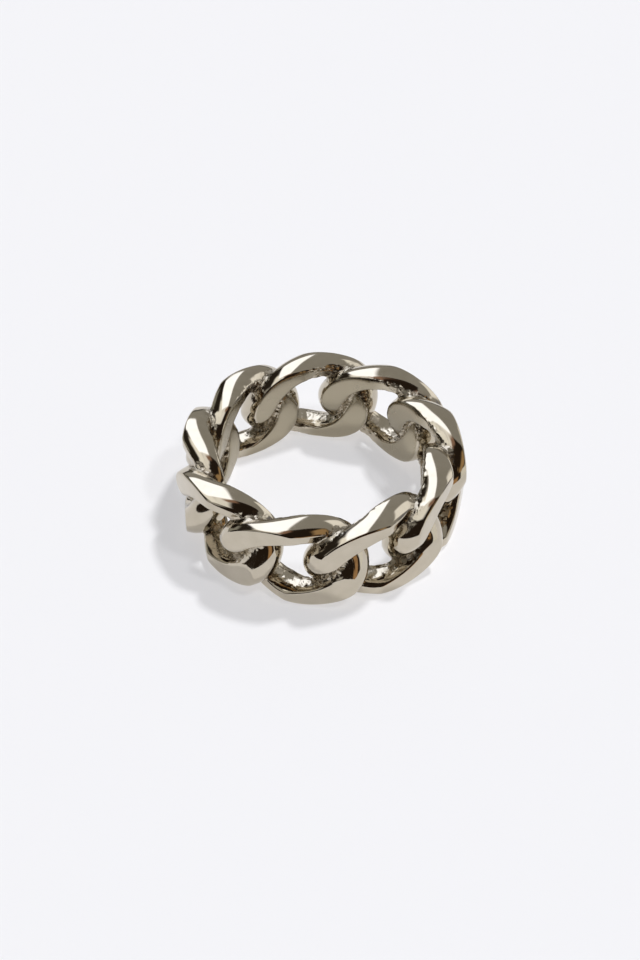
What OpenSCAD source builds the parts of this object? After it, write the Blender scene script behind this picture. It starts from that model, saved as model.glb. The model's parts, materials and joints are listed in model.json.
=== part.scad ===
// Chain link ring: a stiff finger ring made of curb links that pass through each other.
// The links stand in a circle round the finger's axis, which is +Z.
// The origin is the centre of the finger hole, and each link is a node of its own.

/* [Finger] */
// Inside diameter of the ring
finger_d = 17.5; // [15:0.1:21]

/* [Band] */
// Thickness of the band from the finger to the middle of an outer facet
band_t = 3.37; // [2.9:0.05:4]
// Height of the loop that the wire's middle line makes, across the band
loop_h = 6.66; // [5.6:0.1:8]
// Number of links round the finger
link_count = 9; // [8:1:10]

/* [Link] */
// How far the wire's middle line passes the point halfway to the next link
link_reach = 1.3; // [1:0.05:1.6]
// How far a link's ends step in to the finger and out from it
link_twist = 1.03; // [0.7:0.05:1.3]
// How much nearer to the finger a link's ends lie than its long sides
link_bow = 0.36; // [0:0.05:0.6]
// How far a link's ends lean up and down across the band
link_lean = 0.15; // [0:0.05:0.3]

/* [Wire] */
// Wire width at the middle of a link's long side, across the band
wire_side_w = 1.65; // [1.4:0.05:2.2]
// Wire width at a link's ends, along the band
wire_end_w = 2.9; // [2.4:0.05:3.3]
// Wire thickness from the finger outward, before the facets are cut
wire_t = 3.14; // [2.7:0.05:3.6]

/* [Facets] */
// Angle from a link's middle to the middle of its outer facets
facet_turn = 7.9; // [4:0.5:12]

/* [Fit] */
// Clearance between a link and the next one where they pass
link_gap = 0.08; // [0.05:0.01:0.15]

/* [Hidden] */

finger_r = finger_d / 2;
facet_r = finger_r + band_t;
mid_r = finger_r + band_t / 2;
link_angle = 360 / link_count;
loop_l = 2 * PI * mid_r / link_count + 2 * link_reach;

// Stations along the wire and sides of its section
wire_steps = 36;
wire_sides = 12;

steel = [0.78, 0.76, 0.72];

function unit(v) = v / norm(v);

// The wire's middle line at t degrees: along the band, across it, and out from the finger's axis
function middle(t) = [
    loop_l / 2 * cos(t),
    loop_h / 2 * sin(t) + link_lean * cos(t),
    mid_r - link_twist * sin(2 * t) - link_bow / 2 * cos(2 * t)
];

// Half the wire's width at t, narrow on the long sides and wide at the ends
function half_width(t) = (wire_side_w + (wire_end_w - wire_side_w) * pow(cos(t), 2)) / 2;

// A point of the wire's skin at the section angle a, in the flat chart of the band
function skin(t, a, grow) =
    let (
        along = unit(middle(t + 0.5) - middle(t - 0.5)),
        across = unit(cross(along, [0, 0, 1])),
        outward = cross(across, along)
    )
    middle(t) + (half_width(t) + grow) * cos(a) * across + (wire_t / 2 + grow) * sin(a) * outward;

// Rolls a point of the chart round the finger's axis
function rolled(p) = let (a = p[0] / mid_r * 180 / PI) [p[2] * cos(a), p[2] * sin(a), p[1]];

// The wire of one link as a closed loop, thicker by grow all round
module wire_loop(grow = 0) {
    points = [
        for (i = [0 : wire_steps - 1], j = [0 : wire_sides - 1])
            rolled(skin(360 * i / wire_steps, 360 * (j + 0.5) / wire_sides, grow))
    ];
    faces = [
        for (i = [0 : wire_steps - 1], j = [0 : wire_sides - 1])
            let (
                next_i = (i + 1) % wire_steps,
                next_j = (j + 1) % wire_sides,
                a = i * wire_sides + j,
                b = i * wire_sides + next_j,
                c = next_i * wire_sides + next_j,
                d = next_i * wire_sides + j
            )
            each [[a, c, d], [a, b, c]]
    ];
    polyhedron(points, faces, convexity = 6);
}

// The room inside one flat outer facet, turned from the link's middle by turn degrees
module facet_room(turn) {
    size = 2 * (facet_r + wire_t);
    rotate([0, 0, turn]) translate([facet_r - size, -size / 2, -size / 2]) cube(size);
}

// The hole for the finger
module finger_hole() {
    cylinder(r = finger_r, h = 3 * loop_h, center = true, $fn = 180);
}

// One link: its wire, faceted outside, ground to the finger inside, and cut clear of the next link
module curb_link(index) {
    color(steel)
    rotate([0, 0, link_angle * index])
    difference() {
        intersection() {
            wire_loop();
            facet_room(-facet_turn);
            facet_room(facet_turn);
        }
        finger_hole();
        rotate([0, 0, link_angle]) wire_loop(link_gap);
    }
}

for (i = [0 : link_count - 1])
    curb_link(i);
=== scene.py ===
"""Looks of the chain link ring: nine polished curb links, cast through each other and fused there.

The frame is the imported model's, in metres. The finger's axis is +Z, and the origin is the centre of the
finger hole. Each link repeats the formula that the solids follow, with soft creases at its facets, small
fillets where it meets its neighbours, and the grain of the casting in its recesses.
"""
import json
import math
from collections import namedtuple

import bpy
import numpy as np
from mathutils import Matrix, Vector, noise
from mathutils.bvhtree import BVHTree


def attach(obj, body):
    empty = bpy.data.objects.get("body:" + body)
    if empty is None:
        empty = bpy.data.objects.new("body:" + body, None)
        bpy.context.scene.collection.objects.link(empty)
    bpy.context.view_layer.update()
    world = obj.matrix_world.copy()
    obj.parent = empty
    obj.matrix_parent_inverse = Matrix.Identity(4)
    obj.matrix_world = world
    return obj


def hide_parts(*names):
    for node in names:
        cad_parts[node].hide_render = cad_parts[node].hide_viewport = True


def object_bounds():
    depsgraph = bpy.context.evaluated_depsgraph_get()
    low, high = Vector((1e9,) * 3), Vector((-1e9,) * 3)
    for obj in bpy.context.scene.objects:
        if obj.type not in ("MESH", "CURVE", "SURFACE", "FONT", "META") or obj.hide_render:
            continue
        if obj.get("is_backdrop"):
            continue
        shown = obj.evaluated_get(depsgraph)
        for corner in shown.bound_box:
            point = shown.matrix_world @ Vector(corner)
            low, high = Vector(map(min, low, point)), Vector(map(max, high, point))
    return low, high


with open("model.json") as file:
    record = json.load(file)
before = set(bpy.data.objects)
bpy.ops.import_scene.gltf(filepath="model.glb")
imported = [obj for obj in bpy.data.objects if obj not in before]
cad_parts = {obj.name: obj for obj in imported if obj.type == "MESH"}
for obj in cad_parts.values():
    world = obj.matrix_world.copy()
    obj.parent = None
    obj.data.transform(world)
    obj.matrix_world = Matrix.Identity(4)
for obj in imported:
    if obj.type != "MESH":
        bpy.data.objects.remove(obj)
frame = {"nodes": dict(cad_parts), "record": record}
cad_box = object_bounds()
mounts = {mount["name"]: mount for mount in frame["record"]["mounts"]}

MM = 0.001

# Sizes of the ring in millimetres and degrees, as in its solids, but with the wire's sides 0.065 slimmer
LINKS = len(frame["nodes"])
FINGER_R = mounts["finger_hole"]["dims"]["r_mm"]
FACET_R = 12.12
MID_R = (FINGER_R + FACET_R) / 2
LOOP_H = 6.66
LINK_REACH = 1.3
LINK_TWIST = 1.03
LINK_BOW = 0.36
LINK_LEAN = 0.15
WIRE_SIDE_W = 1.585
WIRE_END_W = 2.9
WIRE_T = 3.14
FACET_TURN = 7.9
LOOP_L = 2 * math.pi * MID_R / LINKS + 2 * LINK_REACH
LINK_ANGLE = 360 / LINKS

# Two quarters of each link's loop are worn flat on the wire's outer side, and two, the other way round,
# on its inner side. The flat reaches this far round the section, and a quarter starts this far round the
# loop, both in degrees. The wear follows a sine over the quarter and is full from this height of it on
SIDE_FLAT = 31
WORN_FROM = 25
WORN_FULLY = 0.5

# How softly grinding starts on the outer facets and on the finger's wall, and how softly facets join
MERGE = 0.06
MERGE_INSIDE = 0.28
JOIN = 0.5

# An outer facet is crowned to this radius, with its top this far above or below the band's middle. The
# finger's wall swells to this radius at each of a link's two inner flats, whose middles lie this far
# round the wall and across the band
FACET_CROWN_R = 70
CROWN_Z = LOOP_H / 3
PILLOW_R = 14
PILLOW_AROUND = LOOP_L * 0.3
PILLOW_Z = LOOP_H * 0.35

# Fillets where links meet, and waviness of the outside and of the inner flats
FILLET = 0.4
WAVE = 0.004
WAVE_INSIDE = 0.03
WAVE_SCALE = 0.7

# Relief of the casting: its height, what its broad swells and its lumps add, how far they lie sunk, and
# the scales of both, drawn out round the band. The lumps are read from another place in the noise, and
# where there is less grain than the least, the skin stays smooth
GRAIN = 0.05
SWELL_SHARE = 1.3
LUMP_SHARE = 2.4
SUNK = 0.6
SWELL_SCALE = np.array([0.9, 0.9, 1.6])
LUMP_SCALE = np.array([1.5, 1.5, 2.6])
OTHER_NOISE = 40.0
LEAST_GRAIN = 0.01

# The four faces of the wire's section, in the order in which they go round it. A face has this many
# columns of the mesh, and the rounding of a crease reaches this far over it
Face = namedtuple("Face", "name columns crease")
FACES = [
    Face("outer flat", 20, 0.12),
    Face("hole side", 32, 0.55),
    Face("inner flat", 20, 0.34),
    Face("outside", 32, 0.45),
]
COLUMNS = sum(face.columns for face in FACES)

# Stations along the wire, how much columns crowd towards the creases, points that a face is traced
# through, section angles tried for a crease, and stations over which the creases' places are smoothed
STATIONS = 420
CROWDING = 0.65
FINE = 160
ANGLES_TRIED = 1241
TAPER = 11

# How far from its neighbours a point's clearance is looked for
NEARBY = 3.0

# Where each mask starts and where it is full, in millimetres: off the finger's wall, and near a
# neighbour for the recesses and for the roughest part of a hole
OFF_WALL = (0.06, 0.4)
IN_RECESS = (0.85, 0.1)
DEEP_IN_HOLE = (1.6, 0.5)

# The same as shares from 0 to 1: into the hole's side, and facing the finger
ON_HOLE_SIDE = (0.6, 0.9)
TO_FINGER = (0.25, 0.7)

# Grain of a hole's side away from the neighbours, and share of grain that grinding takes off the flats
OPEN_HOLE_GRAIN = 0.6
GRAIN_GROUND_OFF = 0.88

# Colours of the metal: two tones in patches, and painted shade: darker on the inner flats and in the
# recesses
TONES = ((0.525, 0.471, 0.374), (0.57, 0.512, 0.414))
INNER_FLAT_SHADE = (0.355, 0.311, 0.225)
INNER_FLAT_SHADE_SHARE = 0.85
RECESS_SHADE = (0.19, 0.155, 0.118)
MOST_RECESS_SHADE = 0.5

# Roughness in the smoothest and in the roughest patches
POLISHED = (0.05, 0.09)
OUTER_FLAT = (0.1, 0.14)
INNER_FLAT = (0.2, 0.28)
AS_CAST = (0.1, 0.42)

# Bump in millimetres: polishing lines, fainter on the outer flats, and the casting's lumps and pits
LINE_HEIGHT = 0.0012
OUTER_LINES = 0.25
CAST_HEIGHT = 0.07
PIT_SHARE = 0.5

# Scales of the noises, to the millimetre. The casting's lumps and pits are drawn out round the band
LINES_AROUND = 0.6
LINES_ACROSS = 14.0
PATCHES = 0.9
CAST_LUMPS = 1.6
CAST_PITS = 2.6
DRAWN = (1.0, 1.0, 1.7)

# The part of a noise's range that is spread over its whole effect
PATCHY = (0.3, 0.7)
LUMPY = (0.38, 0.62)

# The camera at the photograph's angle, in degrees and metres: how far round the finger's axis from -Y it
# stands, how far it looks down, its roll, its distance and the nearest that it sees. The lens and the
# ring's place are in pixels
CAMERA_TURN = -16.3
CAMERA_ELEVATION = 43.2
CAMERA_ROLL = -0.48
CAMERA_DISTANCE = 0.1415
CAMERA_NEAREST = 0.005
FOCAL_PX = 1623.6
FRAME_W_PX = 640
FRAME_H_PX = 960
RING_X_PX = 321.38
RING_Y_PX = 473.04
SENSOR_MM = 36

# What stands round the ring, each card over the ones before it. Its place, size and soft edge are in
# degrees as the ring sees them, azimuth 0 straight ahead of the camera and more to the right. Its light
# is red, green and blue
Card = namedtuple("Card", "azimuth elevation roll width height edge light")
CARDS = [
    Card(-165, 18, 0, 180, 180, 3, (0.024, 0.016, 0.011)),
    Card(-64, 28, -22, 84, 44, 4, (0.028, 0.022, 0.016)),
    Card(-56, 14, -12, 44, 24, 5, (0.33, 0.33, 0.30)),
    Card(-118, 38, 0, 28, 34, 6, (0.49, 0.48, 0.46)),
    Card(-66, 62, -20, 50, 14, 4, (1.30, 1.30, 1.28)),
    Card(-75, 75, 0, 44, 14, 5, (1.20, 1.20, 1.20)),
    Card(-18, 76, 0, 12, 9, 4, (0.35, 0.21, 0.15)),
    Card(-16, 44, 15, 22, 48, 2, (1.96, 2.07, 2.34)),
    Card(107, 12, 0, 42, 34, 4, (0.98, 0.98, 0.96)),
    Card(115, 46, -48, 48, 13, 6, (0.46, 0.30, 0.15)),
    Card(152, 8, 0, 22, 20, 4, (0.46, 0.27, 0.13)),
    Card(48, 28, 0, 24, 34, 3, (1.25, 1.25, 1.25)),
    Card(73, 13, 0, 18, 30, 4, (0.24, 0.24, 0.27)),
    Card(-10, 1, 0, 60, 8, 4, (0.065, 0.060, 0.054)),
]

# The room between the cards, the even light that the floor gets from all sides instead of the room, and
# what the camera sees beyond the floor
WALLS = (0.36, 0.35, 0.33)
FILL = (0.12, 0.12, 0.123)
BACKDROP = (0.9, 0.9, 0.93)

# Soft lamps far off, placed in degrees as the cards are, and how wide each looks in degrees. The one
# overhead throws no shadow
Lamp = namedtuple("Lamp", "name azimuth elevation strength shadows")
LAMPS = [
    Lamp("key", 53, 65, 1.04, True),
    Lamp("side", 118, 60, 0.35, True),
    Lamp("overhead", 0, 90, 1.65, False),
]
LAMP_ANGLE = 6.3

# The floor: how far it reaches from its middle, in metres, its colour and its roughness
FLOOR_HALF = 2.0
FLOOR_COLOUR = (0.86, 0.86, 0.885, 1)
FLOOR_ROUGHNESS = 0.9


def unit(v):
    """Rows of v, each at length 1."""
    return v / np.linalg.norm(v, axis=-1, keepdims=True)


def smooth(low, high, x):
    """0 below low, 1 above high, and a smooth step between them. low may be the larger."""
    s = np.clip((x - low) / (high - low), 0, 1)
    return s * s * (3 - 2 * s)


def turned(p, degrees):
    """Points p turned about the finger's axis."""
    c = math.cos(math.radians(degrees))
    s = math.sin(math.radians(degrees))
    return p @ np.array([[c, s, 0], [-s, c, 0], [0, 0, 1]])


def middle(t):
    """The wire's middle line at t radians: along the band, across it, and out from the finger's axis."""
    return np.stack([
        LOOP_L / 2 * np.cos(t),
        LOOP_H / 2 * np.sin(t) + LINK_LEAN * np.cos(t),
        MID_R - LINK_TWIST * np.sin(2 * t) - LINK_BOW / 2 * np.cos(2 * t),
    ], -1)


def side_flat(t):
    """How far round its section the wire's outer side is worn flat at station t, in radians."""
    wear = np.sin(2 * (t - math.radians(WORN_FROM)))
    return math.radians(SIDE_FLAT) * smooth(0, WORN_FULLY, wear)


def skin(t, a, worn=True):
    """Points of the wire's skin before grinding, at station t and section angle a, both in radians."""
    step = 1e-3
    along = unit(middle(t + step) - middle(t - step))
    across = unit(np.cross(along, [0.0, 0.0, 1.0]))
    outward = np.cross(across, along)
    half_width = (WIRE_SIDE_W + (WIRE_END_W - WIRE_SIDE_W) * np.cos(t) ** 2) / 2
    height = np.sin(a)
    if worn:
        height = np.clip(height, -np.cos(side_flat(math.pi - t)), np.cos(side_flat(t)))
    flat = (
        middle(t)
        + (half_width * np.cos(a))[..., None] * across
        + (WIRE_T / 2 * height)[..., None] * outward
    )
    turn = flat[..., 0] / MID_R
    return np.stack([flat[..., 2] * np.cos(turn), flat[..., 2] * np.sin(turn), flat[..., 1]], -1)


def beyond_facet(p):
    """How far each point stands out past the two crowned outer facets, and the way out, softly joined."""
    over, ways = [], []
    for turn in (-FACET_TURN, FACET_TURN):
        out = turned(np.array([1.0, 0.0, 0.0]), turn)
        side = turned(np.array([0.0, 1.0, 0.0]), turn)
        crown = ((p @ side) ** 2 + (np.abs(p[..., 2]) - CROWN_Z) ** 2) / (2 * FACET_CROWN_R)
        over.append(p @ out - FACET_R + crown)
        ways.append(out)
    ahead = over[0] - over[1]
    reach = np.hypot(ahead, JOIN)
    first = ((1 + ahead / reach) / 2)[..., None]
    return (over[0] + over[1] + reach) / 2, unit(first * ways[0] + (1 - first) * ways[1])


def inside_finger(p):
    """How far each point reaches into the finger hole, whose wall swells a little at each inner flat."""
    around = np.arctan2(p[..., 1], p[..., 0]) * FINGER_R
    away = np.minimum(
        (around - PILLOW_AROUND) ** 2 + (p[..., 2] - PILLOW_Z) ** 2,
        (around + PILLOW_AROUND) ** 2 + (p[..., 2] + PILLOW_Z) ** 2,
    )
    return FINGER_R + away / (2 * PILLOW_R) - np.hypot(p[..., 0], p[..., 1])


def eased(over, soft):
    """What is above 0 in over, with a soft start."""
    return (over + np.hypot(over, soft)) / 2


def ground(p):
    """Moves what stands past a facet onto it, and what reaches into the finger hole onto its wall."""
    over, normal = beyond_facet(p)
    p = p - eased(over, MERGE)[..., None] * normal
    return p + eased(inside_finger(p), MERGE_INSIDE)[..., None] * unit(p * [1, 1, 0])


def larger(a, b, soft):
    """The larger of two numbers, with a soft change from one to the other."""
    return (a + b + math.hypot(a - b, soft)) / 2


def crossings(t, excess, centre, worn):
    """The two section angles between which station t is flat near centre, by grinding or by wear."""
    # Half a face's least width, the softness between one width and another, and how far a face may reach
    narrow = math.radians(4)
    soft = math.radians(2.5)
    reach = math.radians(112)
    angles = centre + np.linspace(-reach, reach, ANGLES_TRIED)
    value = excess(skin(np.full(len(angles), t), angles, worn=False))
    peak = int(np.argmax(value))
    # A flat that is worn in full lies round centre, and not round the peak of what is ground
    shift = (centre - angles[peak]) * worn / math.radians(SIDE_FLAT)
    found = []
    for step in (-1, 1):
        # The ground part's own edge lies between the last angle with something to grind and the next one
        wide = 0.0
        if value[peak] > 0:
            i = peak
            while 0 < i + step < len(angles) and value[i] > 0:
                i += step
            share = value[i] / (value[i] - value[i - step])
            wide = step * (angles[i] - share * (angles[i] - angles[i - step]) - angles[peak])
        wide = larger(larger(wide, narrow, soft), worn + step * shift, soft)
        found.append(angles[peak] + step * wide)
    return tuple(found)


def section_corners(t):
    """The four section angles where faces meet at station t."""
    outer = crossings(t, lambda p: beyond_facet(p)[0], math.pi / 2, side_flat(t))
    inner = crossings(t, inside_finger, math.pi * 3 / 2, side_flat(math.pi - t))
    return [*outer, *inner]


def smoothed(corners):
    """All stations' corners, each averaged with its neighbours along the wire, the near ones most."""
    steps = range(-TAPER, TAPER + 1)
    return sum(np.roll(corners, step, 0) * (TAPER - abs(step)) for step in steps) / TAPER ** 2


def spread(length, columns):
    """Distances along one face, closer together at its two creases."""
    s = np.arange(columns) / columns
    return length * (s - CROWDING * np.sin(2 * math.pi * s) / (2 * math.pi))


def station_points(t, corners):
    """The ground section at station t, its creases rounded, and each point's depth in the hole's side."""
    corners = [*corners, corners[0] + 2 * math.pi]
    lines, runs = [], []
    for start, end in zip(corners, corners[1:]):
        line = ground(skin(np.full(FINE, t), np.linspace(start, end, FINE)))
        lines.append(line)
        runs.append(np.concatenate([[0], np.cumsum(np.linalg.norm(np.diff(line, axis=0), axis=1))]))
    arms = [min(face.crease, run[-1] / 3) for face, run in zip(FACES, runs)]
    # A face's direction at its end is taken over this many of its traced points
    tail = 3
    points, depth = [], []
    for k, face in enumerate(FACES):
        before = (k - 1) % len(FACES)
        after = (k + 1) % len(FACES)
        length = runs[k][-1]
        at = spread(length, face.columns)
        part = np.stack([np.interp(at, runs[k], lines[k][:, c]) for c in range(3)], -1)
        # A crease is rounded by a parabola from one face to the next, which starts and ends an arm away
        for distance, first, second in ((at, before, k), (length - at, k, after)):
            near = np.clip(1 - distance / arms[k], 0, 1) / 2
            come = unit(lines[first][-1] - lines[first][-1 - tail])
            go = unit(lines[second][tail] - lines[second][0])
            part = part + (near ** 2)[:, None] * (arms[second] * go - arms[first] * come)
        points.append(part)
        in_hole = face.name == "hole side"
        depth.append(np.sin(math.pi * at / length) if in_hole else np.zeros(face.columns))
    return np.concatenate(points), np.concatenate(depth)


def grid_faces(rows, columns):
    """Quads of a grid that closes on itself both ways."""
    i, j = np.meshgrid(np.arange(rows), np.arange(columns), indexing="ij")
    next_i = (i + 1) % rows
    next_j = (j + 1) % columns
    corners = [i * columns + j, next_i * columns + j, next_i * columns + next_j, i * columns + next_j]
    return np.stack(corners, -1).reshape(-1, 4)


def link_normals(points):
    """Unit normals of a link's points, which are a grid that closes on itself both ways."""
    grid = points.reshape(STATIONS, COLUMNS, 3)
    along = np.roll(grid, -1, 0) - np.roll(grid, 1, 0)
    round_wire = np.roll(grid, -1, 1) - np.roll(grid, 1, 1)
    return unit(np.cross(along, round_wire)).reshape(-1, 3)


def clearance(p, tree):
    """How far each point lies outside a neighbour's skin, negative inside it, and at most NEARBY."""
    found = np.full(len(p), NEARBY)
    for n, q in enumerate(p):
        place, normal, _, distance = tree.find_nearest(q, NEARBY)
        if place is not None:
            found[n] = distance if (Vector(q) - place).dot(normal) > 0 else -distance
    return found


def fillets(points, normals, faces):
    """How far each point of link 1 rises into its fillets, and its clearance to the nearer neighbour."""
    lift = np.zeros(len(points))
    near = np.full(len(points), NEARBY)
    for turn in (-LINK_ANGLE, LINK_ANGLE):
        tree = BVHTree.FromPolygons(turned(points, turn).tolist(), faces.tolist())
        first = clearance(points, tree)
        near = np.minimum(near, first)
        close = np.flatnonzero(np.abs(first) < 2 * FILLET)
        # A point that rises stands nearer to the neighbour, so its rise is found in a few rounds
        rise = np.zeros(len(close))
        for _ in range(3):
            gap = clearance(points[close] + rise[:, None] * normals[close], tree)
            gap = np.clip(gap, FILLET / 4, FILLET)
            rise = (math.sqrt(FILLET) - np.sqrt(gap)) ** 2
        rise *= smooth(-FILLET, -FILLET / 2, first[close])
        lift[close] = np.maximum(lift[close], rise)
    return lift, near


def base_link():
    """Link 1: its points, its faces, and each point's clearance and depth in the hole's side."""
    stations = 2 * math.pi * np.arange(STATIONS) / STATIONS
    corners = smoothed(np.array([section_corners(t) for t in stations]))
    rows = [station_points(t, four) for t, four in zip(stations, corners)]
    points = np.concatenate([row[0] for row in rows])
    depth = np.concatenate([row[1] for row in rows])
    faces = grid_faces(STATIONS, COLUMNS)
    normals = link_normals(points)
    lift, near = fillets(points, normals, faces)
    return points + lift[:, None] * normals, faces, near, depth


def on_face(name):
    """For each point of a link, whether it lies on this face of the wire, off its first column."""
    k = [face.name for face in FACES].index(name)
    start = sum(face.columns for face in FACES[:k])
    column = np.tile(np.arange(COLUMNS), STATIONS)
    return (column > start) & (column < start + FACES[k].columns)


def surface_shares(points, near, depth):
    """Each point's share of the masks that the relief and the material use."""
    outer_flat = on_face("outer flat") * 1.0
    off_wall = smooth(*OFF_WALL, -inside_finger(points))
    inner_flat = on_face("inner flat") * (1 - off_wall)
    to_finger = -(link_normals(points) * unit(points * [1, 1, 0])).sum(-1)
    recess = smooth(*IN_RECESS, near)
    deep = OPEN_HOLE_GRAIN + (1 - OPEN_HOLE_GRAIN) * smooth(*DEEP_IN_HOLE, near)
    hole = smooth(*ON_HOLE_SIDE, depth) * deep
    back = smooth(*TO_FINGER, to_finger) * off_wall
    cast = np.maximum(recess, np.maximum(hole, back))
    grain = cast * (1 - GRAIN_GROUND_OFF * np.maximum(outer_flat, inner_flat))
    return {"grain": grain, "recess": recess, "outer_flat": outer_flat, "inner_flat": inner_flat}


def relief(points, shares):
    """Lifts each point along its normal by the casting's lumps where it is rough, and by faint waves."""
    wave_height = WAVE + (WAVE_INSIDE - WAVE) * shares["inner_flat"]
    lift = np.empty(len(points))
    for n, (p, share) in enumerate(zip(points, shares["grain"])):
        lift[n] = wave_height[n] * noise.noise(Vector(p * WAVE_SCALE))
        if share > LEAST_GRAIN:
            swell = noise.noise(Vector(p * SWELL_SCALE))
            lump = abs(noise.noise(Vector(p * LUMP_SCALE + OTHER_NOISE)))
            lift[n] += GRAIN * share * (SWELL_SHARE * swell + LUMP_SHARE * lump - SUNK)
    return points + lift[:, None] * link_normals(points)


def link_mesh(name, points, faces, shares):
    """A smooth mesh with one share per point for each named mask of the material."""
    mesh = bpy.data.meshes.new(name)
    mesh.from_pydata((points * MM).tolist(), [], faces.tolist())
    mesh.shade_smooth()
    for mask, share in shares.items():
        mesh.attributes.new(mask, "FLOAT", "POINT").data.foreach_set("value", share.astype(np.float32))
    return mesh


def make_links(material):
    """The nine links, each in the place of its solid."""
    points, faces, near, depth = base_link()
    shares = surface_shares(points, near, depth)
    for k in range(LINKS):
        name = f"curb_link_{k + 1}"
        mesh = link_mesh(name, relief(turned(points, LINK_ANGLE * k), shares), faces, shares)
        mesh.materials.append(material)
        piece = bpy.data.objects.new(name, mesh)
        bpy.context.scene.collection.objects.link(piece)
        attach(piece, "root")
        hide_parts(f"link_{k + 1}")


class Nodes:
    """Short names for making shader nodes and their links."""

    def __init__(self, tree):
        self.tree = tree

    def make(self, kind, values=None, **settings):
        """A node with its settings, and its inputs set to numbers or joined to other nodes' outputs."""
        node = self.tree.nodes.new(kind)
        for name, value in settings.items():
            setattr(node, name, value)
        for name, value in (values or {}).items():
            if isinstance(value, bpy.types.NodeSocket):
                self.tree.links.new(value, node.inputs[name])
            else:
                node.inputs[name].default_value = value
        return node

    def math(self, operation, *values):
        """One operation of Math on up to three inputs."""
        return self.make("ShaderNodeMath", dict(enumerate(values)), operation=operation).outputs[0]

    def times(self, first, second):
        """The product of two numbers."""
        return self.math("MULTIPLY", first, second)

    def vector(self, operation, first, second):
        """One operation of Vector Math on two vectors."""
        return self.make("ShaderNodeVectorMath", {0: first, 1: second}, operation=operation)

    def share(self, value, low, high, start=0.0, end=1.0):
        """value from low to high becomes start to end."""
        node = self.make(
            "ShaderNodeMapRange",
            {"Value": value, "From Min": low, "From Max": high, "To Min": start, "To Max": end},
        )
        return node.outputs["Result"]

    def attribute(self, name):
        """A share stored on the mesh's points."""
        return self.make("ShaderNodeAttribute", attribute_name=name).outputs["Fac"]

    def noise(self, vector, scale, detail=2.0, rough=0.5):
        """Perlin noise from 0 to 1."""
        values = {"Vector": vector, "Scale": scale, "Detail": detail, "Roughness": rough}
        return self.make("ShaderNodeTexNoise", values).outputs["Fac"]

    def mix(self, share, first, second):
        """A colour between two, through the sockets that the Mix node keeps for colours."""
        node = self.make("ShaderNodeMix", data_type="RGBA")
        for socket, value in ((0, share), (6, first), (7, second)):
            if isinstance(value, bpy.types.NodeSocket):
                self.tree.links.new(value, node.inputs[socket])
            else:
                node.inputs[socket].default_value = value if socket == 0 else (*value, 1)
        return node.outputs[2]


def metal_bump(n, masks, mm, drawn, lumps):
    """The normal, with polishing lines round the band on the flats, and with lumps and pits as cast."""
    split = n.make("ShaderNodeSeparateXYZ", {0: mm})
    turn = n.math("ARCTAN2", split.outputs["Y"], split.outputs["X"])
    around = n.times(n.times(turn, MID_R), LINES_AROUND)
    across = n.times(split.outputs["Z"], LINES_ACROSS)
    lines_at = n.make("ShaderNodeCombineXYZ", {"X": around, "Y": across}).outputs[0]
    lines = n.noise(lines_at, scale=1.0, detail=3.0, rough=0.6)
    flats = n.math("MAXIMUM", masks["inner_flat"], n.times(masks["outer_flat"], OUTER_LINES))
    pits = n.make(
        "ShaderNodeTexVoronoi",
        {"Vector": drawn, "Scale": CAST_PITS, "Smoothness": 1.0, "Randomness": 1.0},
        feature="SMOOTH_F1",
    ).outputs["Distance"]
    cast = n.math("ADD", lumps, n.times(pits, PIT_SHARE))
    line_height = n.times(n.times(lines, flats), LINE_HEIGHT)
    cast_height = n.times(n.times(cast, masks["grain"]), CAST_HEIGHT)
    height = n.math("ADD", line_height, cast_height)
    return n.make("ShaderNodeBump", {"Height": height, "Strength": 1.0, "Distance": MM}).outputs["Normal"]


def metal_roughness(n, masks, patch, lumps):
    """Polished, a little duller on the outer flats, satin on the inner flats, and uneven as cast."""
    rough = n.share(patch, *PATCHY, *POLISHED)
    for mask, value, between, finish in (
        ("inner_flat", patch, PATCHY, INNER_FLAT),
        ("outer_flat", patch, PATCHY, OUTER_FLAT),
        ("grain", lumps, LUMPY, AS_CAST),
    ):
        rough = n.math("MAXIMUM", rough, n.times(masks[mask], n.share(value, *between, *finish)))
    return rough


def metal_colour(n, masks, patch, lumps):
    """Two close tones in patches, with painted shade: darker on the inner flats and low in the recesses.
    """
    colour = n.mix(n.share(patch, *PATCHY), *TONES)
    # Painted shade: the inner flats darker than the rest of the metal
    colour = n.mix(n.times(masks["inner_flat"], INNER_FLAT_SHADE_SHARE), colour, INNER_FLAT_SHADE)
    # Painted shade: a darker brown in the recesses between links, most where the lumps are low
    low = n.share(lumps, *LUMPY, MOST_RECESS_SHADE, 0.0)
    return n.mix(n.times(masks["recess"], low), colour, RECESS_SHADE)


def white_metal():
    """Polished nickel-toned metal, satin inside and grainy in the recesses, with painted shade on the
    inner flats and in the recesses.
    """
    material = bpy.data.materials.new("white_metal")
    material.use_nodes = True
    tree = material.node_tree
    tree.nodes.clear()
    n = Nodes(tree)
    place = n.make("ShaderNodeTexCoord").outputs["Object"]
    mm = n.make("ShaderNodeVectorMath", {0: place, "Scale": 1 / MM}, operation="SCALE").outputs[0]
    drawn = n.vector("MULTIPLY", mm, DRAWN).outputs[0]
    patch = n.noise(mm, PATCHES)
    lumps = n.noise(drawn, CAST_LUMPS)
    masks = {name: n.attribute(name) for name in ("grain", "recess", "outer_flat", "inner_flat")}
    shader = n.make(
        "ShaderNodeBsdfPrincipled",
        {
            "Base Color": metal_colour(n, masks, patch, lumps),
            "Metallic": 1.0,
            "Roughness": metal_roughness(n, masks, patch, lumps),
            "Normal": metal_bump(n, masks, mm, drawn, lumps),
        },
    )
    out = n.make("ShaderNodeOutputMaterial", {"Surface": shader.outputs["BSDF"]})
    tree.nodes.active = out
    return material


def facing(azimuth, elevation):
    """The direction at these degrees as the ring sees it, azimuth 0 straight ahead of the camera."""
    a = math.radians(azimuth)
    e = math.radians(elevation)
    way = np.array([math.sin(a) * math.cos(e), math.cos(a) * math.cos(e), math.sin(e)])
    return Vector(turned(way, CAMERA_TURN))


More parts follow.
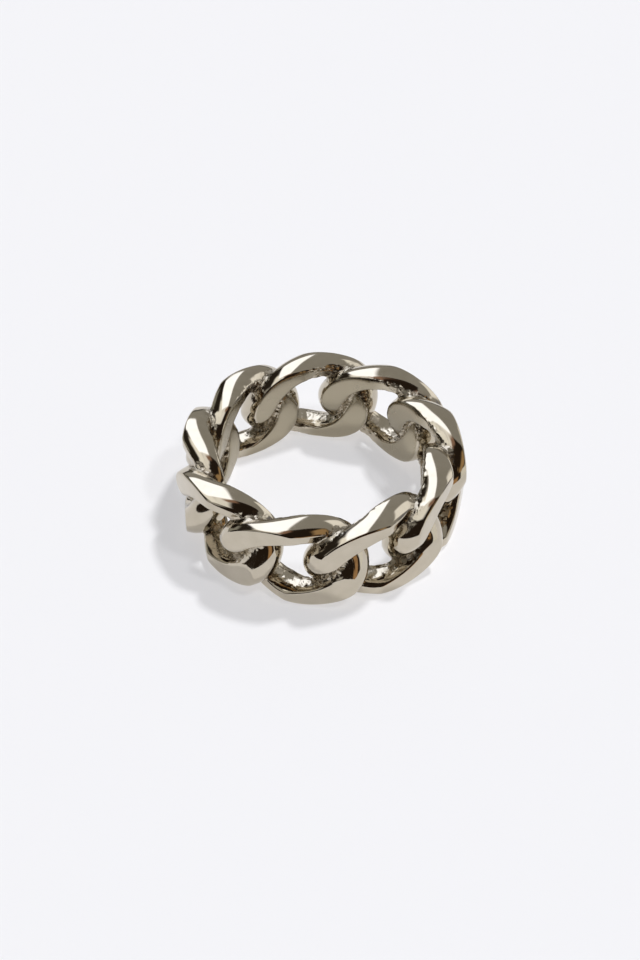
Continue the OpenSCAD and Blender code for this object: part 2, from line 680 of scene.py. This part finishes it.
def add_lamp(lamp):
    """A soft lamp far off, which lights the whole floor evenly. The metal reflects the room alone."""
    light = bpy.data.lights.new(lamp.name, "SUN")
    light.angle = math.radians(LAMP_ANGLE)
    light.energy = lamp.strength
    light.use_shadow = lamp.shadows
    stand = bpy.data.objects.new(lamp.name, light)
    stand.rotation_euler = facing(lamp.azimuth, lamp.elevation).to_track_quat("Z", "Y").to_euler()
    stand.visible_glossy = False
    bpy.context.scene.collection.objects.link(stand)


def add_camera():
    """The camera as fitted to the photograph, with the ring in the same place in the frame."""
    elevation = math.radians(CAMERA_ELEVATION)
    roll = math.radians(CAMERA_ROLL)
    back = np.array([0, -math.cos(elevation), math.sin(elevation)])
    up = np.array([0, math.sin(elevation), math.cos(elevation)])
    right = np.array([1.0, 0, 0])
    rolled_right = math.cos(roll) * right + math.sin(roll) * up
    rolled_up = math.cos(roll) * up - math.sin(roll) * right
    axes = turned(np.array([rolled_right, rolled_up, back]), CAMERA_TURN)
    place = Matrix.Translation(Vector(axes[2] * CAMERA_DISTANCE))
    data = bpy.data.cameras.new("camera")
    data.sensor_width = SENSOR_MM
    data.lens = FOCAL_PX / FRAME_H_PX * data.sensor_width
    data.shift_x = (FRAME_W_PX / 2 - RING_X_PX) / FRAME_H_PX
    data.shift_y = (RING_Y_PX - FRAME_H_PX / 2) / FRAME_H_PX
    data.clip_start = CAMERA_NEAREST
    camera = bpy.data.objects.new("camera", data)
    camera.matrix_world = place @ Matrix(axes.T.tolist()).to_4x4()
    bpy.context.scene.collection.objects.link(camera)
    bpy.context.scene.camera = camera


def add_floor(height):
    """A plain pale floor that the ring lies on."""
    corners = [(x * FLOOR_HALF, y * FLOOR_HALF, height) for x, y in ((-1, -1), (1, -1), (1, 1), (-1, 1))]
    mesh = bpy.data.meshes.new("floor")
    mesh.from_pydata(corners, [], [(0, 1, 2, 3)])
    material = bpy.data.materials.new("floor")
    material.use_nodes = True
    shader = material.node_tree.nodes["Principled BSDF"]
    shader.inputs["Base Color"].default_value = FLOOR_COLOUR
    shader.inputs["Roughness"].default_value = FLOOR_ROUGHNESS
    shader.inputs["Specular IOR Level"].default_value = 0.0
    mesh.materials.append(material)
    floor = bpy.data.objects.new("floor", mesh)
    bpy.context.scene.collection.objects.link(floor)
    floor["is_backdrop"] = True


def card_share(n, way, card):
    """1 where a direction meets a card, and 0 beyond its soft edge."""
    ahead = facing(card.azimuth, card.elevation)
    level = facing(card.azimuth + 90, 0)
    above = facing(card.azimuth, card.elevation + 90)
    roll = math.radians(card.roll)
    right = math.cos(roll) * level + math.sin(roll) * above
    up = math.cos(roll) * above - math.sin(roll) * level
    x, y, z = (n.vector("DOT_PRODUCT", way, axis).outputs["Value"] for axis in (right, ahead, up))
    sideways = n.math("ABSOLUTE", n.math("ARCTAN2", x, y))
    upward = n.math("ABSOLUTE", n.math("ARCSINE", z))
    shares = []
    for angle, size in ((sideways, card.width), (upward, card.height)):
        outside = math.radians((size + card.edge) / 2)
        inside = math.radians((size - card.edge) / 2)
        shares.append(n.share(angle, outside, inside))
    return n.times(*shares)


def add_world():
    """The room that the metal reflects, with an even light for the floor and a plain backdrop."""
    world = bpy.data.worlds.new("room")
    world.use_nodes = True
    tree = world.node_tree
    tree.nodes.clear()
    n = Nodes(tree)
    way = n.make("ShaderNodeTexCoord").outputs["Generated"]
    path = n.make("ShaderNodeLightPath")
    room = WALLS
    for card in CARDS:
        room = n.mix(card_share(n, way, card), room, card.light)
    colour = n.mix(path.outputs["Is Diffuse Ray"], room, FILL)
    colour = n.mix(path.outputs["Is Camera Ray"], colour, BACKDROP)
    background = n.make("ShaderNodeBackground", {"Color": colour, "Strength": 1.0})
    n.make("ShaderNodeOutputWorld", {"Surface": background.outputs[0]})
    bpy.context.scene.world = world


make_links(white_metal())
add_camera()
add_floor(min(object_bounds()[0][2], cad_box[0][2]))
add_world()
for lamp in LAMPS:
    add_lamp(lamp)
bpy.context.scene.view_settings.view_transform = "Standard"
